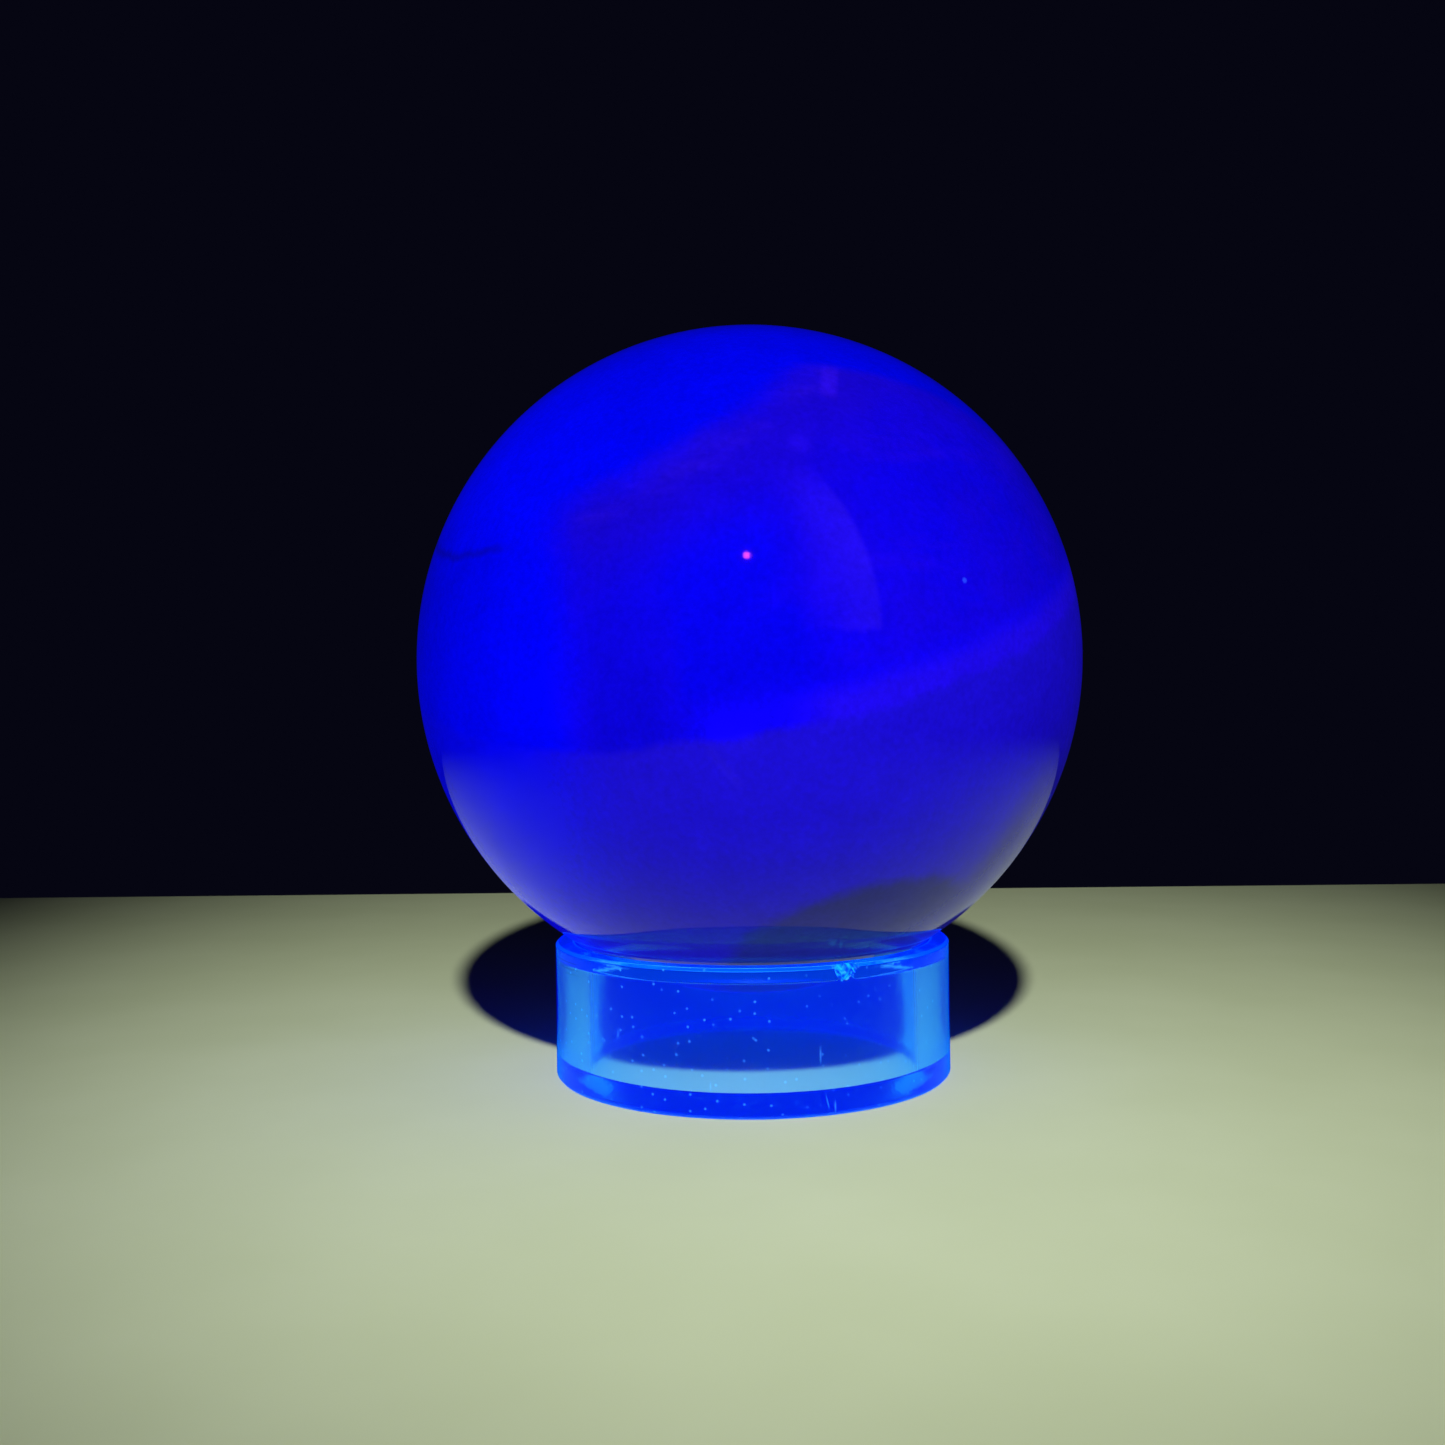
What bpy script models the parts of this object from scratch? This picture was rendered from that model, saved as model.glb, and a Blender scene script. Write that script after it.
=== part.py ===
"""A polished mineral sphere standing on a short clear ring cut from tube.

Metres, +Z up. The origin is the centre of the ring's bottom face, and the ball's centre lies on +Z.
The ring is turned from one profile: square end faces, a bevel inside each end and a small break on each
outer edge. The ball rests in the upper bevel by its own weight and lifts straight off.
"""
import math

import bmesh
import bpy

MM = 0.001

# Driving dimensions of the ball
BALL_DIAMETER = 100.0 * MM

# Driving dimensions of the ring
RING_OUTER_DIAMETER = 60.0 * MM
RING_WALL = 5.0 * MM
RING_HEIGHT = 20.0 * MM
BEVEL_WIDTH = 2.2 * MM
BEVEL_DEPTH = 2.7 * MM
EDGE_BREAK = 0.4 * MM

# Gap between the ball and the bevel that carries it
SEAT_CLEARANCE = 0.3 * MM

# Fineness of the round surfaces
BALL_MERIDIANS = 64
BALL_PARALLELS = 32
RING_SIDES = 96

# Sizes that follow from the driving dimensions
BALL_RADIUS = BALL_DIAMETER / 2
RING_RADIUS = RING_OUTER_DIAMETER / 2
BORE_RADIUS = RING_RADIUS - RING_WALL
RIM_RADIUS = BORE_RADIUS + BEVEL_WIDTH

# Angle above which an edge stays crisp in smooth shading
CRISP_ANGLE = math.radians(25)

# Finishes: colour, roughness and how clear the piece is
BALL_FINISH = {"color": (0.012, 0.008, 0.80, 1.0), "roughness": 0.06, "clear": 0.0}
RING_FINISH = {"color": (0.010, 0.12, 0.92, 1.0), "roughness": 0.10, "clear": 0.6}


def clear_scene():
    """Empties the scene of every object it starts with."""
    for old in list(bpy.data.objects):
        bpy.data.objects.remove(old, do_unlink=True)


def finish_material(name, finish):
    """A Principled material in the piece's own colour, roughness and clearness; neither piece is metal."""
    material = bpy.data.materials.new(name)
    material.use_nodes = True
    shader = material.node_tree.nodes["Principled BSDF"]
    shader.inputs["Base Color"].default_value = finish["color"]
    shader.inputs["Roughness"].default_value = finish["roughness"]
    shader.inputs["Metallic"].default_value = 0.0
    shader.inputs["Transmission Weight"].default_value = finish["clear"]
    material.diffuse_color = finish["color"]
    return material


def add_piece(name, bm, finish, height=0.0):
    """Turns a bmesh into a smooth-shaded object whose origin stands on the axis at the given height."""
    bmesh.ops.recalc_face_normals(bm, faces=bm.faces)
    mesh = bpy.data.meshes.new(name)
    bm.to_mesh(mesh)
    bm.free()
    mesh.shade_smooth()
    mesh.set_sharp_from_angle(angle=CRISP_ANGLE)
    mesh.materials.append(finish_material(name, finish))
    piece = bpy.data.objects.new(name, mesh)
    piece.location.z = height
    bpy.context.scene.collection.objects.link(piece)
    return piece


def ring_profile():
    """Corners of the ring's section as (radius, height), down the outer side and up the bore."""
    top = RING_HEIGHT
    return [
        (RIM_RADIUS, top),
        (RING_RADIUS - EDGE_BREAK, top),
        (RING_RADIUS, top - EDGE_BREAK),
        (RING_RADIUS, EDGE_BREAK),
        (RING_RADIUS - EDGE_BREAK, 0.0),
        (RIM_RADIUS, 0.0),
        (BORE_RADIUS, BEVEL_DEPTH),
        (BORE_RADIUS, top - BEVEL_DEPTH),
    ]


def ball_height():
    """Height of the ball's centre when its surface lies the seat clearance off the upper bevel.

    A sphere meets a cone where both have the same slope. Where that circle lies outside the bevel,
    the nearer edge of the bevel carries the ball instead.
    """
    reach = BALL_RADIUS + SEAT_CLEARANCE
    bevel_slope = math.atan2(BEVEL_DEPTH, BEVEL_WIDTH)
    seat_radius = min(max(reach * math.sin(bevel_slope), BORE_RADIUS), RIM_RADIUS)
    seat_height = RING_HEIGHT - (RIM_RADIUS - seat_radius) * math.tan(bevel_slope)
    return seat_height + math.sqrt(reach ** 2 - seat_radius ** 2)


def make_display_ring():
    """The clear ring: its section carried once round the axis."""
    bm = bmesh.new()
    corners = [bm.verts.new((radius, 0.0, height)) for radius, height in ring_profile()]
    edges = [bm.edges.new((corner, following)) for corner, following in zip(corners, corners[1:] + corners[:1])]
    bmesh.ops.spin(
        bm,
        geom=corners + edges,
        cent=(0.0, 0.0, 0.0),
        axis=(0.0, 0.0, 1.0),
        angle=2 * math.pi,
        steps=RING_SIDES,
        use_merge=True,
    )
    return add_piece("display_ring", bm, RING_FINISH)


def make_crystal_ball():
    """The solid polished ball, centred on its own origin and set down in the ring's upper bevel."""
    bm = bmesh.new()
    bmesh.ops.create_uvsphere(
        bm, u_segments=BALL_MERIDIANS, v_segments=BALL_PARALLELS, radius=BALL_RADIUS
    )
    return add_piece("crystal_ball", bm, BALL_FINISH, ball_height())


clear_scene()
make_display_ring()
make_crystal_ball()
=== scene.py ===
"""Looks of a polished blue mineral ball on a short clear ring: surfaces, finishes, floor, light, camera."""
import math

import bpy
import numpy as np
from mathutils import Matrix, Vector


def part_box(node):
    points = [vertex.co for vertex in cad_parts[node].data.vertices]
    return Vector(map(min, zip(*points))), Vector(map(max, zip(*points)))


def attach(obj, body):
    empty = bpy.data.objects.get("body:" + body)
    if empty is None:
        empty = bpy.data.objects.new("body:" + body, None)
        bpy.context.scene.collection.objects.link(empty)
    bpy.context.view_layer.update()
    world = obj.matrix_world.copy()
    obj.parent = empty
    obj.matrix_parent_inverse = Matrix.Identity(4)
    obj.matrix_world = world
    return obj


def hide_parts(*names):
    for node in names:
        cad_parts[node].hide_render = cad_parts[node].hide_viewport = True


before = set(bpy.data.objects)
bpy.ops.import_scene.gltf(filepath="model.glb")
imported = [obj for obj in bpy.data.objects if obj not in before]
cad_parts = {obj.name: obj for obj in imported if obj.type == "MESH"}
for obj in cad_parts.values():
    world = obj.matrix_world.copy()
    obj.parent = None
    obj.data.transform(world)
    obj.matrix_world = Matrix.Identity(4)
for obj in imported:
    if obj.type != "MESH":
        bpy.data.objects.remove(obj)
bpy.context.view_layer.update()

MM = 0.001


def rgb(red, green, blue):
    """A colour for a socket, in linear light."""
    return (red, green, blue, 1.0)


# Sizes taken from the frame
ball_low, ball_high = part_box("crystal_ball")
ring_low, ring_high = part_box("display_ring")
BALL_CENTRE = (ball_low + ball_high) / 2
BALL_RADIUS = (ball_high.z - ball_low.z) / 2
RING_RADIUS = (ring_high.x - ring_low.x) / 2
RING_HEIGHT = ring_high.z

# What lapping leaves on the ball: how far it lies under the true radius, and the height of its waves
LAPPING_LOSS = 0.03 * MM
LAPPING_WAVE = 0.015 * MM

# Ring section, as the solid has it, and the fine rounding of its corners
WALL = 5.0 * MM
BEVEL_WIDTH = 2.2 * MM
BEVEL_DEPTH = 2.7 * MM
EDGE_BREAK = 0.4 * MM
BORE_RADIUS = RING_RADIUS - WALL
RIM_RADIUS = BORE_RADIUS + BEVEL_WIDTH
EDGE_ROUND = 0.10 * MM
ROUND_POINTS = 4
SECTION_STEP = 0.30 * MM

# How near a point lies to a face or an edge of the ring to count as on it
ON_END = 0.01 * MM
ON_BREAK = 0.02 * MM
ON_WALL = 0.05 * MM
ON_LINE = 0.10 * MM

# The chip in the ring's upper outer edge: where round the ring it lies, and the size of the bite
CHIP_ANGLE = math.radians(-65.4)
CHIP_WIDTH = 3.3 * MM
CHIP_DEPTH = 0.75 * MM
CHIP_DROP = 1.9 * MM

# Shape of the bite, in its own depths and drops: a lip at its edge, its deepest point and its lowest point
CHIP_LIP = 0.35
CHIP_FLOOR = 1.4
CHIP_FOOT = 1.15

# Fine columns of the ring's mesh reach this many chip widths to each side of the chip
FINE_REACH = 1.6

# Growth planes of the mineral in ball radii from its centre: unit normal and distance
UPPER_PLANE = ((-0.422, -0.394, 0.816), 0.768)
ROOF_PLANE = ((-0.129, 0.570, 0.811), 0.186)
LOWER_PLANE = ((-0.153, -0.352, 0.923), 0.129)
CLEAR_PLANE = ((-0.277, 0.442, 0.853), -0.931)
RIND_PLANE = ((0.503, 0.823, -0.265), -0.007)
SAIL_PLANE = ((-0.294, -0.956, 0.012), 0.814)

# The way across the ball, from the bright flank to the far side, and straight up
ACROSS = (0.985, 0.12, 0.10)
UP = (0.0, 0.0, 1.0)

# Middle of the bright core on the front of the ball, and two small inclusions, in ball radii
CORE_PLACE = (-0.07, -0.98, 0.16)
INCLUSIONS = ((0.54, -0.83, 0.15), (0.85, -0.32, -0.41))

# Fine marks in the mineral in ball radii: a crease under the lower plane, an edge at the peak, a pale spot
CREASE = ((-0.106, -0.962, -0.250), (-0.012, -0.933, -0.360))
PEAK_EDGE = ((0.226, -0.616, 0.754), (0.210, -0.756, 0.620))
PALE_SPOT = (0.134, -0.863, 0.486)

# Colours of the mineral's zones and marks
MINERAL = {
    "field": rgb(0.0022, 0.0003, 0.555),
    "cloud": rgb(0.0045, 0.0006, 0.50),
    "wisp": rgb(0.0068, 0.0010, 0.54),
    "core": rgb(0.0010, 0.0004, 0.525),
    "band": rgb(0.0018, 0.0005, 0.475),
    "flank_foot": rgb(0.0, 0.0004, 0.79),
    "flank_head": rgb(0.0, 0.0004, 0.61),
    "shelf": rgb(0.0025, 0.0004, 0.68),
    "shelf_end": rgb(0.0095, 0.0022, 0.56),
    "veil": rgb(0.0050, 0.0009, 0.32),
    "thread": rgb(0.013, 0.0030, 0.44),
    "sail": rgb(0.014, 0.004, 0.53),
    "peak_edge": rgb(0.016, 0.0026, 0.48),
    "pale_spot": rgb(0.014, 0.003, 0.60),
    "bright_cap": rgb(0.0, 0.0005, 0.66),
    "cap": rgb(0.0, 0.0005, 0.48),
    "seam": rgb(0.001, 0.001, 0.26),
    "low_zone": rgb(0.0070, 0.0025, 0.465),
    # Deep in the lower zone: darker, with red and green added as a painted reflection of the floor
    "low_depth_floor_reflection": rgb(0.0125, 0.0085, 0.31),
    "low_wisp": rgb(0.009, 0.004, 0.44),
    "low_flank": rgb(0.0005, 0.0008, 0.79),
    "crease": rgb(0.018, 0.008, 0.50),
    "clear_patch": rgb(0.012, 0.015, 0.115),
    "rind": rgb(0.010, 0.009, 0.19),
    "inclusion": rgb(0.012, 0.035, 0.70),
}

# Colours of the glow on the ring's faces and marks
GLOW = {
    "wall": rgb(0.0, 0.0016, 0.165),
    "wall_haze": rgb(0.0, 0.0026, 0.185),
    "rim": rgb(0.0, 0.010, 0.36),
    "foot": rgb(0.001, 0.026, 0.26),
    "seat_bevel": rgb(0.0, 0.018, 0.10),
    "foot_bevel": rgb(0.0, 0.003, 0.30),
    "edge": rgb(0.001, 0.085, 0.70),
    "speck": rgb(0.06, 0.30, 0.84),
    "saw_line": rgb(0.0, 0.004, 0.02),
    "chip": rgb(0.0, 0.02, 0.35),
    "chip_ridge": rgb(0.01, 0.48, 1.0),
}

# What the acrylic lets through on its clear faces, its foot and its saw lines. The foot's dark blue is
# painted shade: it dims the floor seen through the foot
CLEAR_TINT = rgb(0.98, 0.99, 1.0)
FOOT_SHADE_TINT = rgb(0.01, 0.06, 0.40)
SAW_TINT = rgb(0.02, 0.12, 0.70)

# Colour that the acrylic keeps in its depth, and how fast it takes the rest away, per metre
DEPTH_COLOUR = rgb(0.0, 0.78, 1.0)
ABSORPTION = 25.0

# Dust on the ring: cells per metre of wall, and the side where it lies thickest
DUST_CELLS = 560.0
DUSTY_SIDE = (-0.62, -0.78, 0.0)

# Fine scratches on the ring's outer wall: angle round the ring, lowest and highest point
SCRATCHES = (
    (math.radians(-72.7), 6.8 * MM, 9.6 * MM),
    (math.radians(-128.0), 9.0 * MM, 11.2 * MM),
    (math.radians(-101.0), 3.6 * MM, 5.2 * MM),
    (math.radians(-68.7), 0.1 * MM, 2.3 * MM),
)

# Saw marks under the rim: angle round the ring, half their length as an angle, and their height
SAW_MARKS = (
    (math.radians(-156.0), math.radians(11.0), 18.5 * MM),
    (math.radians(-152.0), math.radians(8.0), 17.6 * MM),
    (math.radians(-150.0), math.radians(6.0), 16.9 * MM),
)


def grid_faces(rows, columns, closed_u, closed_v):
    """Faces between neighbours in a grid of point numbers, joined to itself where it is closed."""
    index = np.arange(rows * columns).reshape(rows, columns)
    if closed_u:
        index = np.concatenate([index, index[:, :1]], axis=1)
    if closed_v:
        index = np.concatenate([index, index[:1]], axis=0)
    corners = [index[:-1, :-1], index[1:, :-1], index[1:, 1:], index[:-1, 1:]]
    return np.stack(corners, axis=-1).reshape(-1, 4)


def grid_piece(name, points, closed_u, closed_v, attributes=None):
    """Mesh of a grid of points, rows along v and columns along u.

    A face spans each step of both parameters. attributes holds one array of numbers per grid point.
    """
    rows, columns = points.shape[:2]
    faces = grid_faces(rows, columns, closed_u, closed_v)
    return mesh_piece(name, points.reshape(-1, 3), faces, [], attributes)


def mesh_piece(name, points, quads, triangles, attributes=None):
    """A smooth-shaded object at the origin from arrays of points, four-sided and three-sided faces."""
    mesh = bpy.data.meshes.new(name)
    faces = [*np.asarray(quads).tolist(), *np.asarray(triangles).tolist()]
    mesh.from_pydata(points.tolist(), [], faces)
    mesh.shade_smooth()
    for key, values in (attributes or {}).items():
        layer = mesh.attributes.new(key, "FLOAT", "POINT")
        layer.data.foreach_set("value", np.ascontiguousarray(values, dtype=np.float32).ravel())
    mesh.update()
    piece = bpy.data.objects.new(name, mesh)
    bpy.context.scene.collection.objects.link(piece)
    return piece


def ball_surface(columns=320, rows=160):
    """A hand-lapped ball: the radius at longitude u and latitude v, plus two shallow waves of low order.

    The waves are products of sines and cosines of u and v. A point closes each pole.
    """
    u = np.linspace(0, 2 * np.pi, columns, endpoint=False)
    v = np.linspace(0, np.pi, rows + 1)[1:-1]
    vv, uu = np.meshgrid(v, u, indexing="ij")
    waves = np.sin(2 * uu + 0.6) * np.sin(vv) ** 2
    waves = waves + 0.7 * np.sin(3 * uu) * np.sin(vv) ** 3 * np.cos(vv)
    radius = BALL_RADIUS - LAPPING_LOSS + LAPPING_WAVE * waves
    around = np.stack([np.cos(uu) * np.sin(vv), np.sin(uu) * np.sin(vv), np.cos(vv)], axis=-1)
    points = around * radius[..., None] + np.array(BALL_CENTRE)
    poles = np.array(BALL_CENTRE) + np.array([[0, 0, 1], [0, 0, -1]]) * BALL_RADIUS
    quads = grid_faces(rows - 1, columns, True, False)
    first = np.arange(columns)
    following = np.roll(first, -1)
    last_row = columns * (rows - 2)
    top = columns * (rows - 1)
    north = np.stack([np.full(columns, top), first, following], axis=-1)
    south = np.stack([np.full(columns, top + 1), last_row + following, last_row + first], axis=-1)
    everything = np.concatenate([points.reshape(-1, 3), poles])
    return mesh_piece("polished_ball", everything, quads, np.concatenate([north, south]))


def rounded_section(corners, radius, arc_points, straight_step):
    """A closed section with its corners rounded: an arc at each corner, and evenly stepped straights.

    Each arc is a quadratic curve from one side of the corner to the other, pulled towards the corner point.
    """
    corners = np.array(corners)
    before = np.roll(corners, 1, axis=0)
    after = np.roll(corners, -1, axis=0)
    into = (before - corners) / np.linalg.norm(before - corners, axis=1)[:, None]
    out_of = (after - corners) / np.linalg.norm(after - corners, axis=1)[:, None]
    starts = corners + into * radius
    ends = corners + out_of * radius
    t = np.linspace(0, 1, arc_points)[:, None]
    runs = []
    for corner, start, end, following in zip(corners, starts, ends, np.roll(starts, -1, axis=0)):
        runs.append((1 - t) ** 2 * start + 2 * t * (1 - t) * corner + t ** 2 * end)
        steps = max(int(np.linalg.norm(following - end) / straight_step), 1)
        s = np.linspace(0, 1, steps + 1)[1:-1, None]
        runs.append(end + (following - end) * s)
    return np.concatenate(runs)


def ring_surface(columns=240, chip_columns=72):
    """The clear ring: its rounded section turned about Z, with a bite taken out of the upper outer edge.

    The bite is an ellipsoid set on the edge. A point inside it moves out along the line from the bite's
    centre to its surface, which leaves a hollow scoop with fine ripples, as a knock leaves in acrylic.
    """
    top = RING_HEIGHT
    corners = [
        (RIM_RADIUS, top),
        (RING_RADIUS - EDGE_BREAK, top),
        (RING_RADIUS, top - EDGE_BREAK),
        (RING_RADIUS, EDGE_BREAK),
        (RING_RADIUS - EDGE_BREAK, 0.0),
        (RIM_RADIUS, 0.0),
        (BORE_RADIUS, BEVEL_DEPTH),
        (BORE_RADIUS, top - BEVEL_DEPTH),
    ]
    section = rounded_section(corners, EDGE_ROUND, ROUND_POINTS, SECTION_STEP)
    chip_half = FINE_REACH * CHIP_WIDTH / RING_RADIUS
    chip_start, chip_end = CHIP_ANGLE - chip_half, CHIP_ANGLE + chip_half
    fine = np.linspace(chip_start, chip_end, chip_columns, endpoint=False)
    coarse = np.linspace(chip_end, chip_start + 2 * np.pi, columns, endpoint=False)
    angle = np.concatenate([fine, coarse])
    r, turn, z = np.broadcast_arrays(section[:, :1], angle[None, :], section[:, 1:])

    # Distances from the bite's centre, in its own half width, depth and drop
    along = RING_RADIUS * (turn - CHIP_ANGLE) / (CHIP_WIDTH / 2)
    inward = (RING_RADIUS - r) / CHIP_DEPTH
    down = (top - z) / CHIP_DROP
    reach = np.sqrt(along ** 2 + inward ** 2 + down ** 2)
    ripple = 1 + 0.10 * np.sin(9 * reach + 5 * along) + 0.08 * np.sin(11 * along - 7 * down)
    bitten = (reach < ripple) & (r > RIM_RADIUS)
    push = np.where(bitten, np.clip(ripple / np.maximum(reach, 0.05), 1.0, 3.0), 1.0)
    scooped = np.minimum(inward * push + CHIP_LIP * (push > 1), CHIP_FLOOR)
    dropped = np.minimum(down * push, CHIP_FOOT)
    cut_r = np.where(bitten, RING_RADIUS - scooped * CHIP_DEPTH, r)
    cut_z = np.where(bitten, top - dropped * CHIP_DROP, z)
    points = np.stack([cut_r * np.cos(turn), cut_r * np.sin(turn), cut_z], axis=-1)

    # Which face or edge each point lies on
    end_gap = np.minimum(top - z, z)
    rim_gap = np.hypot(r - RIM_RADIUS, end_gap)
    on_break = (r > RING_RADIUS - EDGE_BREAK - ON_BREAK) & (end_gap < EDGE_BREAK + ON_BREAK)
    upper_half = z > top / 2
    on_end = end_gap < ON_END
    on_bevel = (r > BORE_RADIUS + ON_WALL) & (r < RIM_RADIUS) & (end_gap > ON_WALL)
    ridges = np.clip(0.3 + 1.2 * np.sin(8 * reach + 5 * along) * np.cos(7 * down), 0, 1)
    surfaces = {
        "rim_face": on_end & upper_half,
        "foot_face": on_end & ~upper_half,
        "seat_bevel": on_bevel & upper_half,
        "foot_bevel": on_bevel & ~upper_half,
        "edge_line": np.where(upper_half, on_break | (rim_gap < ON_LINE), 0.3 * on_break),
        "chip_face": bitten,
        "chip_ridge": bitten * ridges,
        "bore_face": r < BORE_RADIUS + ON_WALL,
    }
    return grid_piece("clear_ring", points, True, True, surfaces)


class Wire:
    """A node output that takes part in arithmetic: each operator adds one Math node to its tree.

    A Wire with no end stands for the tree itself, and node() starts a chain from it.
    """

    def __init__(self, tree, end=None):
        self.tree = tree
        self.end = end

    def node(self, kind, settings=None, sockets=None, out=0):
        """Adds a node of a kind, makes its settings, then gives its sockets their values or links."""
        made = self.tree.nodes.new(kind)
        for name, value in (settings or {}).items():
            setattr(made, name, value)
        for name, value in (sockets or {}).items():
            if isinstance(value, Wire):
                value.feed(made.inputs[name])
            else:
                made.inputs[name].default_value = value
        return Wire(self.tree, made.outputs[out])

    def feed(self, socket):
        """Links this output to a socket."""
        self.tree.links.new(self.end, socket)

    def math(self, operation, *terms):
        return self.node("ShaderNodeMath", {"operation": operation}, dict(enumerate(terms)))

    def __add__(self, other):
        return self.math("ADD", self, other)

    __radd__ = __add__

    def __mul__(self, other):
        return self.math("MULTIPLY", self, other)

    __rmul__ = __mul__

    def __sub__(self, other):
        return self.math("SUBTRACT", self, other)

    def __rsub__(self, other):
        return self.math("SUBTRACT", other, self)

    def __abs__(self):
        return self.math("ABSOLUTE", self)

    def step(self, low, high):
        """0 below low, 1 above high and a smooth rise between."""
        sockets = {"Value": self, "From Min": low, "From Max": high}
        return self.node("ShaderNodeMapRange", {"interpolation_type": "SMOOTHSTEP"}, sockets)

    def dot(self, direction):
        sockets = {0: self, 1: direction}
        return self.node("ShaderNodeVectorMath", {"operation": "DOT_PRODUCT"}, sockets, "Value")

    def distance(self, point):
        return self.node("ShaderNodeVectorMath", {"operation": "DISTANCE"}, {0: self, 1: point}, "Value")

    def above(self, plane):
        """Height over a plane, given as its unit normal and distance."""
        normal, offset = plane
        return self.dot(normal) - offset

    def noise(self, scale, detail=3.0, roughness=0.5):
        sockets = {"Vector": self, "Scale": scale, "Detail": detail, "Roughness": roughness}
        return self.node("ShaderNodeTexNoise", None, sockets, "Fac")

    def stroke(self, start, end, width):
        """1 on the straight line between two points, falling to 0 at a width from it and past its ends."""
        start, end = np.array(start), np.array(end)
        half = np.linalg.norm(end - start) / 2
        middle = (start + end) / 2
        direction = (end - start) / (2 * half)
        along = self.dot(tuple(direction)) - float(middle @ direction)
        gap = self.distance(tuple(middle))
        aside = gap * gap - along * along
        ends = 1 - abs(along).step(0.6 * half, half)
        return (1 - aside.step(0.0, width ** 2)) * ends

    def layer(self, name):
        """A number stored at the points of the mesh."""
        return self.node("ShaderNodeAttribute", {"attribute_name": name}, None, "Fac")

    def scaled(self, amount):
        """A colour or vector times a number."""
        return self.node("ShaderNodeVectorMath", {"operation": "SCALE"}, {0: self, "Scale": amount})

    def blend(self, mask, one, other):
        """Colour one where the mask is 0, running to colour other where it is 1."""
        sockets = {0: mask, 6: one, 7: other}
        return self.node("ShaderNodeMix", {"data_type": "RGBA"}, sockets, 2)


def new_finish(name, even):
    """A material with its Principled shader, its tree as a Wire, and its output node.

    even holds the shader's values that are the same all over the surface.
    """
    material = bpy.data.materials.new(name)
    material.use_nodes = True
    nodes = material.node_tree.nodes
    shader = nodes["Principled BSDF"]
    for socket, value in even.items():
        shader.inputs[socket].default_value = value
    return material, shader, Wire(material.node_tree), nodes["Material Output"]


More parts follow.
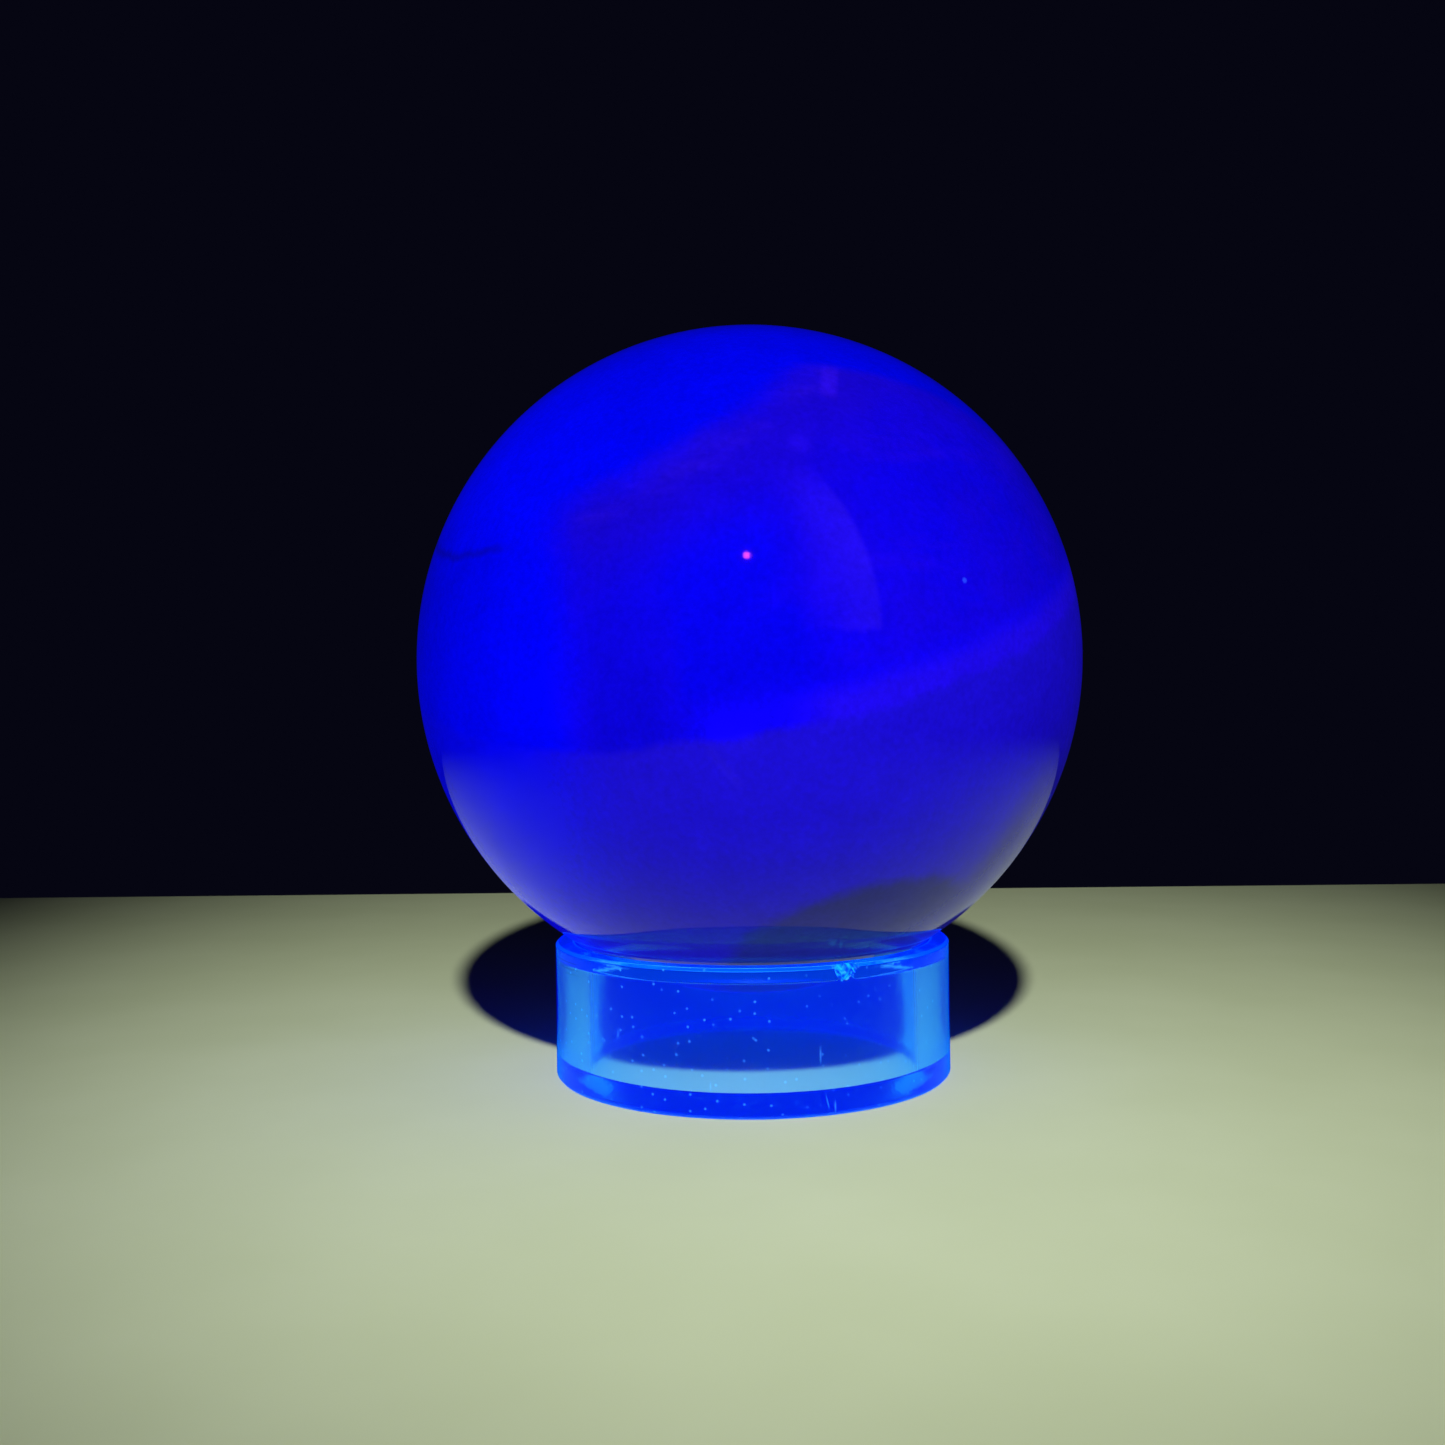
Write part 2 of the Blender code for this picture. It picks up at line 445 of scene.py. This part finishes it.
def mineral_finish():
    """Polished mineral with flat growth zones: pure blue cap and flank, violet veils, a dim lower zone. The
    zone colours also feed the emission, a painted glow in place of fluorescence.
    """
    even = {
        "Roughness": 0.045,
        "IOR": 1.434,
        "Specular Tint": rgb(0.08, 0.06, 0.45),
        "Emission Strength": 0.55,
    }
    material, shader, tree, _ = new_finish("polished_mineral", even)
    place = tree.node("ShaderNodeTexCoord", out="Object")
    scale = 1 / BALL_RADIUS
    centring = {"Location": tuple(-c * scale for c in BALL_CENTRE), "Scale": (scale, scale, scale)}
    local = tree.node("ShaderNodeMapping", None, {"Vector": place, **centring})
    drift = local.noise(2.2, 4.0, 0.55) - 0.5
    fine = local.noise(11.0, 5.0, 0.62) - 0.5
    grain = local.noise(60.0, 3.0, 0.6) - 0.5
    cloud = local.noise(3.4, 6.0, 0.6)
    layered = {"Vector": local, "Rotation": (0.35, 0.45, 0.0), "Scale": (2.2, 2.2, 8.0)}
    strata = tree.node("ShaderNodeMapping", None, layered).noise(1.0, 6.0, 0.62)
    upper = local.above(UPPER_PLANE) + fine * 0.03 + drift * 0.02
    lower = local.above(LOWER_PLANE) + fine * 0.04 + drift * 0.05
    clear = local.above(CLEAR_PLANE) + fine * 0.025 + drift * 0.015
    across = local.dot(ACROSS) + fine * 0.07 + drift * 0.10
    height = local.dot(UP) + fine * 0.06

    # Between the two planes: bright flank, a dimmer band, then a violet-blue field with a bright core
    body = tree.blend(cloud.step(0.32, 0.68), MINERAL["field"], MINERAL["cloud"])
    wisps = strata.step(0.50, 0.70) * across.step(-0.05, 0.35)
    body = tree.blend(wisps * 0.7, body, MINERAL["wisp"])
    body = body.scaled(1 - height.step(-0.05, 0.50) * 0.20)
    core = 1 - local.distance(CORE_PLACE).step(0.08, 0.30)
    column = across.step(-0.38, -0.26) * (1 - across.step(-0.02, 0.14)) * (1 - height.step(0.04, 0.20))
    body = tree.blend(tree.math("MAXIMUM", core, column), body, MINERAL["core"])
    band = across.step(-0.56, -0.46) * (1 - across.step(-0.38, -0.26))
    body = tree.blend(band * 0.85, body, MINERAL["band"])
    flank = tree.blend(height.step(-0.20, 0.20), MINERAL["flank_foot"], MINERAL["flank_head"])
    body = tree.blend(1 - across.step(-0.62, -0.46), body, flank)
    shelf = 1 - lower.step(0.03, 0.14)
    body = tree.blend(shelf * across.step(-0.40, -0.20), body, MINERAL["shelf"])
    shelf_end = (1 - lower.step(0.03, 0.10)) * across.step(-0.08, 0.10)
    body = tree.blend(shelf_end * 0.85, body, MINERAL["shelf_end"])

    # Under the upper plane: a veil with a bright thread, a sail, an edge at the peak and a pale spot
    veil = upper.step(-0.22, -0.01) * across.step(-0.58, -0.46)
    body = tree.blend(veil * (0.35 + cloud * 0.8), body, MINERAL["veil"])
    thread = upper.step(-0.045, -0.012) * across.step(-0.60, -0.48) * strata.step(0.40, 0.60)
    body = tree.blend(thread * 0.35, body, MINERAL["thread"])
    sail_edge = local.above(SAIL_PLANE)
    sail = sail_edge.step(-0.010, 0.002) * (1 - sail_edge.step(0.0, 0.11))
    sail = sail * across.step(-0.05, 0.08) * height.step(0.015, 0.035) * (1 - height.step(0.30, 0.46))
    body = tree.blend(sail * (0.25 + cloud * 0.45), body, MINERAL["sail"])
    body = tree.blend(local.stroke(*PEAK_EDGE, 0.03) * 0.5, body, MINERAL["peak_edge"])
    spot = 1 - local.distance(PALE_SPOT).step(0.0, 0.045)
    body = tree.blend(spot * 0.3, body, MINERAL["pale_spot"])

    # Over the upper plane and the roof plane: a cap that starts softly, brightest at the far left,
    # with a dark seam where it starts there
    roof = local.above(ROOF_PLANE) + fine * 0.03 + drift * 0.02
    cap = upper.step(-0.012, 0.014) * 0.2 + upper.step(0.005, 0.068) * 0.8
    cap = tree.math("MAXIMUM", cap, roof.step(-0.02, 0.05))
    cap_shade = tree.blend(across.step(-0.75, -0.25), MINERAL["bright_cap"], MINERAL["cap"])
    body = tree.blend(cap, body, cap_shade)
    seam = upper.step(-0.014, 0.0) * (1 - upper.step(0.0, 0.014)) * (1 - across.step(-0.74, -0.58))
    body = tree.blend(seam * 0.6, body, MINERAL["seam"])

    # Under the lower plane: violet and dim, bluer at the far left, darker further down, where its red and
    # green are a painted reflection of the pale floor
    deep = 1 - lower.step(-0.75, -0.20)
    low_zone = tree.blend(deep, MINERAL["low_zone"], MINERAL["low_depth_floor_reflection"])
    low_zone = tree.blend(wisps * 0.5, low_zone, MINERAL["low_wisp"])
    low_zone = tree.blend(local.stroke(*CREASE, 0.016) * 0.15, low_zone, MINERAL["crease"])
    low_zone = tree.blend((1 - across.step(-0.76, -0.40)) * 0.95, low_zone, MINERAL["low_flank"])
    body = tree.blend(1 - lower.step(-0.020, 0.014), body, low_zone)

    # A clear dark patch at the foot, a pale rind beside it, and the inclusions
    patch = 1 - clear.step(-0.012, 0.012)
    body = tree.blend(patch * (0.65 + cloud * 0.5), body, MINERAL["clear_patch"])
    rind = local.above(RIND_PLANE) + fine * 0.05
    rind = rind.step(-0.03, 0.10) * (1 - height.step(-0.62, -0.22))
    body = tree.blend(rind * 0.85, body, MINERAL["rind"])
    for inclusion in INCLUSIONS:
        dot = 1 - local.distance(inclusion).step(0.004, 0.010)
        body = tree.blend(dot, body, MINERAL["inclusion"])

    body = body.scaled(1 + fine * 0.34 + grain * 0.45)
    # The zone colours go to both base colour and emission: the emission is a painted glow, so the ball
    # shines by itself
    body.feed(shader.inputs["Base Color"])
    body.feed(shader.inputs["Emission Color"])
    return material


def acrylic_finish():
    """Clear acrylic with a blue glow: azure on the cut ends and edges, bright and rough in the chip.

    The coat reflects nothing, as its index is 1. It only tints, and most where it is seen edge on.
    """
    even = {
        "IOR": 1.49,
        "Specular Tint": rgb(0.05, 0.45, 1.0),
        "Transmission Weight": 1.0,
        "Coat Weight": 1.0,
        "Coat Roughness": 0.0,
        "Coat IOR": 1.0,
        "Coat Tint": rgb(0.62, 0.93, 1.0),
        "Emission Strength": 1.0,
    }
    material, shader, tree, output = new_finish("clear_acrylic", even)
    place = tree.node("ShaderNodeTexCoord", out="Object")
    rim_face = tree.layer("rim_face")
    foot_face = tree.layer("foot_face")
    seat_bevel = tree.layer("seat_bevel")
    foot_bevel = tree.layer("foot_bevel")
    edge_line = tree.layer("edge_line")
    chip_face = tree.layer("chip_face")
    chip_ridge = tree.layer("chip_ridge")
    bore_face = tree.layer("bore_face")
    off_bore = 1 - bore_face
    haze = place.noise(160.0, 4.0, 0.6)
    level = place.dot(UP)

    # Dust: spots in the cells of the unrolled outer wall, some of them left empty
    bearing = tree.math("ARCTAN2", place.dot((0.0, 1.0, 0.0)), place.dot((1.0, 0.0, 0.0)))
    unrolled = tree.node("ShaderNodeCombineXYZ", None, {0: bearing * RING_RADIUS, 1: level})
    flat_cells = {"voronoi_dimensions": "2D"}
    cells = {"Vector": unrolled, "Scale": DUST_CELLS}
    speck_gap = tree.node("ShaderNodeTexVoronoi", flat_cells, cells, "Distance")
    cell_colour = tree.node("ShaderNodeTexVoronoi", flat_cells, cells, "Color")
    speck_pick = tree.node("ShaderNodeSeparateColor", None, {0: cell_colour}, 0) + (haze - 0.5) * 0.8
    outer_wall = off_bore * (1 - rim_face) * (1 - foot_face) * (1 - seat_bevel) * (1 - foot_bevel)
    dusty_side = 0.45 + 0.55 * place.dot(DUSTY_SIDE).step(0.3 * RING_RADIUS, 0.9 * RING_RADIUS)
    specks = (1 - speck_gap.step(0.05, 0.13)) * speck_pick.step(0.55, 0.80) * outer_wall * dusty_side

    saw_lines = 0.0
    for turn, half, height in SAW_MARKS:
        facing = place.dot((math.cos(turn), math.sin(turn), 0.0))
        gap = level - height + (haze - 0.5) * 0.4 * MM
        line = 1 - abs(gap).step(0.06 * MM, 0.15 * MM)
        reach = RING_RADIUS * math.cos(half)
        saw_lines = saw_lines + line * facing.step(reach - 0.1 * MM, reach + 0.3 * MM) * off_bore
    for turn, low, high in SCRATCHES:
        aside = place.dot((-math.sin(turn), math.cos(turn), 0.0)) + (haze - 0.5) * 0.6 * MM
        near = place.dot((math.cos(turn), math.sin(turn), 0.0)).step(0.0, MM) * off_bore
        line = (1 - abs(aside).step(0.04 * MM, 0.12 * MM)) * near
        line = line * level.step(low, low + MM) * (1 - level.step(high - MM, high))
        specks = tree.math("MAXIMUM", specks, line)

    glow = tree.blend(haze.step(0.3, 0.7), GLOW["wall"], GLOW["wall_haze"])
    glow = tree.blend(rim_face, glow, GLOW["rim"])
    glow = tree.blend(foot_face, glow, GLOW["foot"])
    glow = tree.blend(seat_bevel, glow, GLOW["seat_bevel"])
    glow = tree.blend(foot_bevel, glow, GLOW["foot_bevel"])
    glow = tree.blend(edge_line, glow, GLOW["edge"])
    glow = tree.blend(specks * 0.75, glow, GLOW["speck"])
    glow = tree.blend(saw_lines * 0.8, glow, GLOW["saw_line"])
    glow = tree.blend(chip_face, glow, GLOW["chip"])
    glow = tree.blend(chip_ridge, glow, GLOW["chip_ridge"])
    glow.feed(shader.inputs["Emission Color"])

    # The foot's dark tint is painted shade where the ring stands on the floor
    clear = tree.blend(foot_face, CLEAR_TINT, FOOT_SHADE_TINT)
    clear = tree.blend(saw_lines * 0.7, clear, SAW_TINT)
    clear.feed(shader.inputs["Base Color"])

    cut_faces = 0.14 * rim_face + 0.45 * foot_face + 0.03 * seat_bevel + 0.02 * foot_bevel
    marks = 0.20 * chip_face + 0.2 * specks + 0.2 * saw_lines
    rough = 0.015 + cut_faces + 0.10 * bore_face + marks
    rough.feed(shader.inputs["Roughness"])

    drawn = tree.node("ShaderNodeMapping", None, {"Vector": place, "Scale": (1400.0, 1400.0, 60.0)})
    streaks = {"Strength": 0.05, "Distance": 0.2 * MM, "Height": drawn.noise(1.0, 3.0, 0.6)}
    tree.node("ShaderNodeBump", None, streaks, "Normal").feed(shader.inputs["Normal"])

    # The key light passes the wall, but not the foot, to reach the floor inside the ring
    shadow = tree.node("ShaderNodeLightPath", None, None, "Is Shadow Ray") * (1 - foot_face)
    through = tree.node("ShaderNodeBsdfTransparent", None, {"Color": CLEAR_TINT})
    ways = {0: shadow, 1: Wire(tree.tree, shader.outputs[0]), 2: through}
    tree.node("ShaderNodeMixShader", None, ways).feed(output.inputs["Surface"])
    depth = {"Color": DEPTH_COLOUR, "Density": ABSORPTION}
    tree.node("ShaderNodeVolumeAbsorption", None, depth).feed(output.inputs["Volume"])
    return material


def floor_finish():
    """Pale matt board."""
    even = {"Roughness": 0.7, "Specular IOR Level": 0.0}
    material, shader, tree, _ = new_finish("pale_board", even)
    place = tree.node("ShaderNodeTexCoord", out="Object")
    shade = place.noise(30.0, 4.0, 0.5).step(0.2, 0.8)
    darker = rgb(0.72, 0.83, 0.48)
    paler = rgb(0.76, 0.87, 0.52)
    colour = tree.blend(shade, darker, paler)
    colour.feed(shader.inputs["Base Color"])
    return material


def dress(piece, material, body, node):
    """Gives a piece its finish, and puts it in the place of a node of the frame."""
    piece.data.materials.append(material)
    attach(piece, body)
    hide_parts(node)


def add_lamp(name, kind, radius, watts, place):
    """A lamp at a place, hidden from rays that pass through the ring."""
    data = bpy.data.lights.new(name, kind)
    data.shadow_soft_size = radius
    data.energy = watts
    lamp = bpy.data.objects.new(name, data)
    lamp.location = place
    lamp.visible_transmission = False
    bpy.context.scene.collection.objects.link(lamp)
    return lamp


# The two pieces of the object
dress(ball_surface(), mineral_finish(), "ball", "crystal_ball")
dress(ring_surface(), acrylic_finish(), "stand", "display_ring")

# Pale floor with a straight far edge, and a dim plain surround
FLOOR_HALF_WIDTH = 1.2
FLOOR_NEAR = -1.0
FLOOR_FAR = 0.236
FLOOR_LEVEL = -0.05 * MM
SURROUND = rgb(0.0018, 0.0018, 0.006)
floor_grid = np.array([
    [(-FLOOR_HALF_WIDTH, FLOOR_FAR, FLOOR_LEVEL), (FLOOR_HALF_WIDTH, FLOOR_FAR, FLOOR_LEVEL)],
    [(-FLOOR_HALF_WIDTH, FLOOR_NEAR, FLOOR_LEVEL), (FLOOR_HALF_WIDTH, FLOOR_NEAR, FLOOR_LEVEL)],
])
floor = grid_piece("floor", floor_grid, False, False)
floor.data.materials.append(floor_finish())

world = bpy.data.worlds.new("dim_surround")
bpy.context.scene.world = world
world.use_nodes = True
world.node_tree.nodes["Background"].inputs["Color"].default_value = SURROUND

# Key light from the front, at the place that gives the photographed shadow
KEY_HEIGHT_ANGLE = math.radians(32.5)
KEY_DISTANCE = 0.475
KEY_ASIDE = 0.0098
KEY_RADIUS = 0.010
KEY_CONE = math.radians(46)
KEY_WATTS = 10.0
key_back = KEY_DISTANCE * math.cos(KEY_HEIGHT_ANGLE)
key_height = BALL_CENTRE.z + KEY_DISTANCE * math.sin(KEY_HEIGHT_ANGLE)
key = add_lamp("soft_key", "SPOT", KEY_RADIUS, KEY_WATTS, (KEY_ASIDE, -key_back, key_height))
key.data.spot_size = KEY_CONE
key.data.spot_blend = 1.0
key.rotation_euler = (math.pi / 2 - KEY_HEIGHT_ANGLE, 0.0, 0.0)
key.visible_glossy = False

# Small rose lamp for the pinpoint glint on the ball's front: it lights nothing matt
GLINT_PLACE = (0.0, -0.566, 0.377)
GLINT_RADIUS = 0.012
GLINT_WATTS = 1.8
GLINT_COLOUR = (1.0, 0.12, 0.10)
glint = add_lamp("glint_lamp", "POINT", GLINT_RADIUS, GLINT_WATTS, GLINT_PLACE)
glint.data.color = GLINT_COLOUR
glint.visible_diffuse = False

# Camera at the photograph's place: distance in front, height, turn, tilt, lean and lens
CAMERA_DISTANCE = 0.2109
CAMERA_HEIGHT = 0.0510
CAMERA_TURN = math.radians(1.116)
CAMERA_TILT = math.radians(0.521)
CAMERA_LEAN = math.radians(0.698)
SENSOR_WIDTH = 36.0
PHOTO_PIXELS = 1445
FOCAL_PIXELS = 1364.9
NEAREST_SEEN = 0.01
camera_data = bpy.data.cameras.new("camera")
camera_data.sensor_width = SENSOR_WIDTH
camera_data.lens = SENSOR_WIDTH * FOCAL_PIXELS / PHOTO_PIXELS
camera_data.clip_start = NEAREST_SEEN
camera = bpy.data.objects.new("camera", camera_data)
camera.location = (0.0, -CAMERA_DISTANCE, CAMERA_HEIGHT)
camera.rotation_euler = (math.pi / 2 + CAMERA_TILT, CAMERA_LEAN, CAMERA_TURN)
bpy.context.scene.collection.objects.link(camera)
bpy.context.scene.camera = camera

bpy.context.scene.view_settings.view_transform = "Standard"
